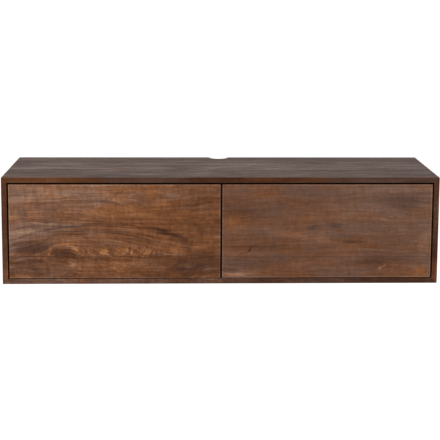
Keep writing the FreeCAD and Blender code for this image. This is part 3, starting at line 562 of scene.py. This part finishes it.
def raw_beech():
    """European beech, planed and left raw.

    To the eye: a dry, even, pinkish tan, with short brown ray flecks along the grain.
    """

    def lay(tree):
        place = add(tree, "TexCoord", out=3)
        shade, figure = 0.5, []
        # growth bands, fibres, and the flecks, which are really 0.3 mm wide and drawn 0.7 mm wide
        for length, width, share in ((380, 16, 0.7), (60, 1.6, 0.35), (6, 0.7, 0.0)):
            scale = 1000 / length, 1000 / width, 1000 / width
            scaled = add(tree, "VectorMath", [place, scale], operation="MULTIPLY")
            plugs = {"Vector": scaled, "Scale": 1, "Detail": 1.5, "Roughness": 0.5}
            figure.append(add(tree, "TexNoise", plugs))
            shade = add(tree, "Math", [figure[-1], share, shade], operation="MULTIPLY_ADD")
            shade = add(tree, "Math", [shade, share / 2], operation="SUBTRACT")
        fibres, flecks = figure[1:]
        tan = [(0.25, "#a67c54"), (0.5, "#c19a70"), (0.75, "#d3b088")]
        colour = add(tree, "ValToRGB", [shade], stops=tan)
        flecks = add(tree, "MapRange", [flecks, 0.58, 0.7, 0, 0.35])
        plugs = {PART: flecks, UNDER: colour, OVER: linear("#7d5431")}
        colour = add(tree, "Mix", plugs, out=MIXED, data_type="RGBA")
        normal = add(tree, "Bump", {"Strength": 0.2, "Distance": 0.2 * MM, "Height": fibres})
        rough = add(tree, "MapRange", [fibres, 0.3, 0.7, 0.6, 0.72])
        return {"Base Color": colour, "Roughness": rough, "Normal": normal}

    return finish_of("planed_raw_beech", lay, Specular_IOR_Level=0.3)


def plated(name, tones, spots, rough):
    """Stamped steel, tumbled and barrel plated: a soft mirror, clouded where the plating is thicker.

    tones are the colours of thin to thick plating, spots the size of the clouds in mm, and rough the range
    of roughness.
    """

    def lay(tree):
        place = add(tree, "TexCoord", out=3)
        plugs = {"Vector": place, "Scale": 1000 / spots, "Detail": 3, "Roughness": 0.6}
        cloud = add(tree, "TexNoise", plugs)
        # tumbling scratches, really 0.05 mm apart and drawn 0.4 mm apart
        scratch = add(tree, "TexNoise", {"Vector": place, "Scale": 1000 / 0.4, "Detail": 1})
        sheen = add(tree, "Math", [cloud, scratch], operation="MULTIPLY")
        return {
            "Base Color": add(tree, "ValToRGB", [cloud], stops=list(zip((0.3, 0.5, 0.7), tones))),
            "Roughness": add(tree, "MapRange", [sheen, 0.15, 0.35, *rough]),
            "Normal": add(tree, "Bump", {"Strength": 0.08, "Distance": 0.02 * MM, "Height": scratch}),
        }

    return finish_of(name, lay, Metallic=1.0)


def moulded(name, deep, high, grit, rough, sheen=0.5):
    """Plastic or rubber from a spark-eroded mould: an even, fine grit that breaks up the light.

    deep and high are the colours in and on the grit, and grit is the size it is drawn, in mm; it is really
    0.05 to 0.1 mm. rough is the range of roughness, and sheen the specular level.
    """

    def lay(tree):
        place = add(tree, "TexCoord", out=3)
        speck = add(tree, "TexNoise", {"Vector": place, "Scale": 1000 / grit, "Detail": 2, "Roughness": 0.6})
        flow = add(tree, "TexNoise", {"Vector": place, "Scale": 1000 / 18, "Detail": 2})
        return {
            "Base Color": add(tree, "ValToRGB", [speck], stops=[(0.35, deep), (0.65, high)]),
            "Roughness": add(tree, "MapRange", [flow, 0.3, 0.7, *rough]),
            "Normal": add(tree, "Bump", {"Strength": 0.3, "Distance": 0.08 * MM, "Height": speck}),
        }

    return finish_of(name, lay, Specular_IOR_Level=sheen)


BOARDS = {
    "flap_left": left_flap(),
    "flap_right": right_flap(),
    "top_panel": top_board(),
    "bottom_panel": bottom_board(),
    "side_panel_left": side_board("mango_left_side", 0, (0.08, 0.0)),
    "side_panel_right": side_board("mango_right_side", 700, (-0.14, -0.2)),
}
FINISHES = {
    "inside_veneer": veneer(),
    "back_board": plywood(),
    "raw_beech": raw_beech(),
    "plated_steel": plated("zinc_plated_steel", ("#a9adb1", "#bcc0c4", "#c9cccd"), 9, (0.32, 0.4)),
    "hinge_steel": plated("nickel_plated_steel", ("#9d9a94", "#aaa69e", "#b6b2a9"), 6, (0.26, 0.32)),
    "screw_steel": plated("yellow_zinc_steel", ("#ad9653", "#c3ad66", "#cbb985"), 3, (0.3, 0.38)),
    "guide_plastic": moulded("moulded_black_nylon", "#101011", "#1f1f21", 0.5, (0.42, 0.54)),
    "latch_plastic": moulded("moulded_grey_abs", "#262628", "#36363a", 0.6, (0.46, 0.6)),
    "plunger_plastic": moulded("moulded_grey_acetal", "#66686b", "#77797d", 0.4, (0.28, 0.38)),
    "bumper_rubber": moulded("moulded_rubber", "#151515", "#262626", 0.5, (0.75, 0.88), 0.3),
}
for name, node in NODES.items():
    for place in node.material_slots:
        place.material = BOARDS.get(name) or FINISHES[SLOT_OF[name]]


# ---------------------------------------------------------------- small fittings


def solids_of(node):
    """The corner points of each separate solid in a CAD node, as arrays.

    Points at one place are one point; every point takes the lowest number among its neighbours until none
    changes, and points with the same number belong together.
    """
    mesh = NODES[node].data
    points = np.empty(len(mesh.vertices) * 3)
    mesh.vertices.foreach_get("co", points)
    ties = np.empty(len(mesh.edges) * 2, dtype=np.int64)
    mesh.edges.foreach_get("vertices", ties)
    points, same = np.unique(points.reshape(-1, 3).round(6), axis=0, return_inverse=True)
    ties = same.reshape(-1)[ties].reshape(-1, 2)
    number = np.arange(len(points))
    while True:
        lowest = number.copy()
        for here, there in ((0, 1), (1, 0)):
            np.minimum.at(lowest, ties[:, here], number[ties[:, there]])
        if (lowest == number).all():
            return [points[number == one] for one in np.unique(number)]
        number = lowest


def placed(name, mesh, node):
    """Puts a finished mesh in a CAD node's place, on its body and with its finish."""
    piece = bpy.data.objects.new(name, mesh)
    bpy.context.scene.collection.objects.link(piece)
    mesh.materials.clear()
    mesh.materials.append(FINISHES[SLOT_OF[node]])
    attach(piece, BODY_OF[node])
    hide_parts(node)
    return piece


def turned(name, node, profile, rings, sectors=32):
    """Round pieces in place of a CAD node, one on each of its solids, in one mesh.

    profile(at, around, length, radius) gives how far along the axis and how far out a grid point lies, for
    at from 0, the head's centre, to 1, the tip's centre. The axis is the side unlike the other two, and the
    head is at the end where the solid is wider, or else at the lower end of the axis.
    """
    turns = np.arange(sectors) * 2 * np.pi / sectors
    at, around = np.meshgrid(np.linspace(0, 1, rings), turns, indexing="ij")
    ring, side = np.meshgrid(np.arange(rings - 1), np.arange(sectors), indexing="ij")
    first, second = ring * sectors + side, ring * sectors + (side + 1) % sectors
    quads = np.stack([first, second, second + sectors, first + sectors], -1).reshape(-1, 4)
    close, alike, same_point = 0.3 * MM, 0.01 * MM, 2e-3 * MM
    points, faces = [], []
    for number, solid in enumerate(solids_of(node)):
        low, high = solid.min(0), solid.max(0)
        axis = int(np.argmax(np.abs(high - low - np.median(high - low))))
        sides = [(axis + 1) % 3, (axis + 2) % 3]
        middle = (low + high) / 2
        out = np.linalg.norm((solid - middle)[:, sides], axis=1)
        ends = [out[np.abs(solid[:, axis] - end[axis]) < close].max() for end in (low, high)]
        way = 1 if ends[0] > ends[1] - alike else -1
        along, spread = profile(at, around, high[axis] - low[axis], out.max())
        grid = np.empty((rings, sectors, 3))
        grid[..., axis] = (low if way > 0 else high)[axis] + way * along
        grid[..., sides[0]] = middle[sides[0]] + spread * np.cos(around)
        grid[..., sides[1]] = middle[sides[1]] + spread * np.sin(around)
        points.append(grid.reshape(-1, 3))
        faces.append((quads if way > 0 else quads[:, ::-1]) + number * rings * sectors)
    mesh = bpy.data.meshes.new(name)
    mesh.from_pydata(np.concatenate(points).tolist(), [], np.concatenate(faces).tolist())
    shape = bmesh.new()
    shape.from_mesh(mesh)
    bmesh.ops.remove_doubles(shape, verts=shape.verts, dist=same_point)
    shape.to_mesh(mesh)
    shape.free()
    mesh.shade_smooth()
    mesh.set_sharp_from_angle(angle=math.radians(35))
    return placed(name, mesh, node)


def screw(at, around, length, radius):
    """A countersunk wood screw: a head with a cross recess, a cone under it, and a thread down to the tip.

    Over the head the radius grows evenly. The recess is 1.1 mm deep up to 0.4 mm from the middle of an arm
    of the cross, rises to the face at 0.8 mm, and eases out at the arms' ends. The cone is 0.56 of the
    radius high. The thread's radius is the core's plus a ridge every 1.8 mm, and it dies away in the last
    2.6 mm.
    """
    head, cone = 0.45, 0.52
    deep, arm_half, pitch, point = 1.1 * MM, 0.4 * MM, 1.8 * MM, 2.6 * MM
    out = np.clip(at / head, 0, 1) * radius
    over = np.clip((at - head) / (cone - head), 0, 1)
    under = np.clip((at - cone) / (1 - cone), 0, 1)
    x, y = np.abs(out * np.cos(around)), np.abs(out * np.sin(around))
    arm, reach = np.minimum(x, y), np.maximum(x, y)
    cross = np.clip(2 - arm / arm_half, 0, 1) * np.clip((0.66 * radius - reach) / (0.2 * radius), 0, 1)
    neck = 0.56 * radius
    along = deep * cross + neck * over + (length - neck) * under
    ridge = 2 * np.abs((along / pitch - around / (2 * np.pi)) % 1 - 0.5)
    shank = (0.4 + 0.11 * ridge) * radius * np.clip((length - along) / point, 0, 1)
    return along, out + over * (shank - out)


def bumper(at, around, length, radius):
    """A rubber pad: a quarter-round dome half a radius high, then a straight side and a flat foot."""
    dome, edge, heel = 0.5 * radius, 0.6, 0.8
    turn = np.clip(at / edge, 0, 1) * np.pi / 2
    side = np.clip((at - edge) / (heel - edge), 0, 1)
    foot = np.clip((at - heel) / (1 - heel), 0, 1)
    return dome * (1 - np.cos(turn)) + side * (length - dome), radius * np.sin(turn) * (1 - foot)


def push_rod(at, around, length, radius):
    """A latch's push rod: a flat magnet sunk 0.3 mm in a rounded end, a groove round the neck, and a shank.

    The magnet ends at 0.12 of the grid, its wall at 0.16, the flat rim at 0.2, the rounding at 0.35 and the
    shank at 0.9. The groove is 0.4 mm deep times e to the minus square of its distance from 4 mm, in 0.8 mm.
    """
    turn = np.clip((at - 0.2) / 0.15, 0, 1) * np.pi / 2
    shaft = np.clip((at - 0.35) / 0.55, 0, 1)
    rounded = 0.25 * radius
    sunk = 0.3 * MM * (1 - np.clip((at - 0.12) / 0.04, 0, 1))
    along = sunk + rounded * (1 - np.cos(turn)) + shaft * (length - rounded)
    groove = 0.4 * MM * np.exp(-(((along - 4 * MM) / (0.8 * MM)) ** 2))
    flat = np.clip(at / 0.12, 0, 1) * 0.6 * radius + np.clip((at - 0.16) / 0.04, 0, 1) * 0.15 * radius
    spread = np.where(at < 0.2, flat, radius * (0.75 + 0.25 * np.sin(turn))) - groove * (at > 0.35)
    return along, spread * (1 - np.clip((at - 0.9) / 0.1, 0, 1))


def eased(node, width):
    """A stamped or moulded fitting with tumbled arrises.

    The CAD shape is merged, and every edge sharper than 40 degrees is rounded by the width, in two facets.
    """
    same_point, no_length = 1e-3 * MM, 3e-3 * MM
    shape = bmesh.new()
    shape.from_mesh(NODES[node].data)
    bmesh.ops.remove_doubles(shape, verts=shape.verts, dist=same_point)
    bmesh.ops.dissolve_limit(shape, angle_limit=math.radians(1), verts=shape.verts, edges=shape.edges)
    arrises = [edge for edge in shape.edges if edge.calc_face_angle(0) > math.radians(40)]
    rounding = {"segments": 2, "profile": 0.5, "affect": "EDGES", "clamp_overlap": True}
    bmesh.ops.bevel(shape, geom=arrises, offset=width, **rounding)
    bmesh.ops.remove_doubles(shape, verts=shape.verts, dist=no_length)
    bmesh.ops.dissolve_degenerate(shape, edges=shape.edges, dist=no_length)
    mesh = bpy.data.meshes.new(node + "_eased")
    shape.to_mesh(mesh)
    shape.free()
    mesh.shade_smooth()
    mesh.set_sharp_from_angle(angle=math.radians(30))
    piece = placed(node + "_eased", mesh, node)
    piece.modifiers.new("flat_faces_stay_flat", "WEIGHTED_NORMAL").keep_sharp = True


STAMPED, MOULDED = 0.35 * MM, 0.7 * MM
for name in list(NODES):
    if "screw" in name:
        turned(name + "_crosshead", name, screw, rings=36)
    elif name == "flap_bumpers":
        turned("domed_bumpers", name, bumper, rings=14)
    elif name.startswith("latch_plunger"):
        turned(name + "_grooved", name, push_rod, rings=60, sectors=24)
    elif name.startswith(("stay_base", "stay_bracket", "stay_arm", "strike_plate", "hinge")):
        eased(name, STAMPED)
    elif name.startswith(("stay_guide", "latch_housing")):
        eased(name, MOULDED)


# ---------------------------------------------------------------- studio


def studio():
    """A white floor well below the hung case, two large soft lamps, a white room, and the camera."""
    scene = bpy.context.scene
    scene.view_settings.view_transform = "Standard"
    white, glow = (1, 1, 1, 1), 1.1
    room = bpy.data.worlds.new("white_room")
    room.use_nodes = True
    for socket, value in zip(room.node_tree.nodes["Background"].inputs, (white, glow)):
        socket.default_value = value
    scene.world = room

    def painted(tree):
        # grit 2.5 mm across, so faint that the floor stays an even white
        place = add(tree, "TexCoord", out=3)
        grit = add(tree, "TexNoise", {"Vector": place, "Scale": 1000 / 2.5, "Detail": 2})
        return {"Base Color": add(tree, "ValToRGB", [grit], stops=[(0.3, "#fcfcfc"), (0.7, "#fdfdfd")])}

    half, drop = 12.0, -1.3
    corners = [(-half, -half, drop), (half, -half, drop), (half, half, drop), (-half, half, drop)]
    sheet = bpy.data.meshes.new("floor")
    sheet.from_pydata(corners, [], [(0, 1, 2, 3)])
    floor = bpy.data.objects.new("floor", sheet)
    scene.collection.objects.link(floor)
    sheet.materials.append(finish_of("white_painted_floor", painted, Roughness=0.9))
    floor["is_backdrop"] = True

    for name, at, aim, size, watts in (
        ("key", (-1.6, -2.6, 2.6), (0, 0, 0.15), 1.8, 70),
        ("overhead", (0.0, 0.4, 3.2), (0, 0, 0.2), 2.6, 20),
    ):
        lamp = bpy.data.lights.new(name, "AREA")
        lamp.size, lamp.energy = size, watts
        holder = bpy.data.objects.new(name, lamp)
        away = Vector(at) - Vector(aim)
        holder.matrix_world = Matrix.Translation(at) @ away.to_track_quat("Z", "Y").to_matrix().to_4x4()
        scene.collection.objects.link(holder)

    # the camera stands 3.5 m before the case and 1 m up, and looks down by 7 degrees
    at, pan, dip, roll = (-0.112462, -3.726644, 1.027425), -0.029999, 0.124906, 0.005409
    lens = bpy.data.cameras.new("camera")
    lens.sensor_width, lens.lens, lens.shift_y = 36, 88.93, -0.25
    camera = bpy.data.objects.new("camera", lens)
    camera.matrix_world = Matrix.Translation(at)
    for turn, axis in ((pan, "Z"), (math.pi / 2 - dip, "X"), (roll, "Z")):
        camera.matrix_world = camera.matrix_world @ Matrix.Rotation(turn, 4, axis)
    scene.collection.objects.link(camera)
    scene.camera = camera


studio()

boxes = {"cad": CAD_BOX, "visual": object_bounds()}
for which, box in boxes.items():
    boxes[which] = [[round(float(number), 6) for number in corner] for corner in box]
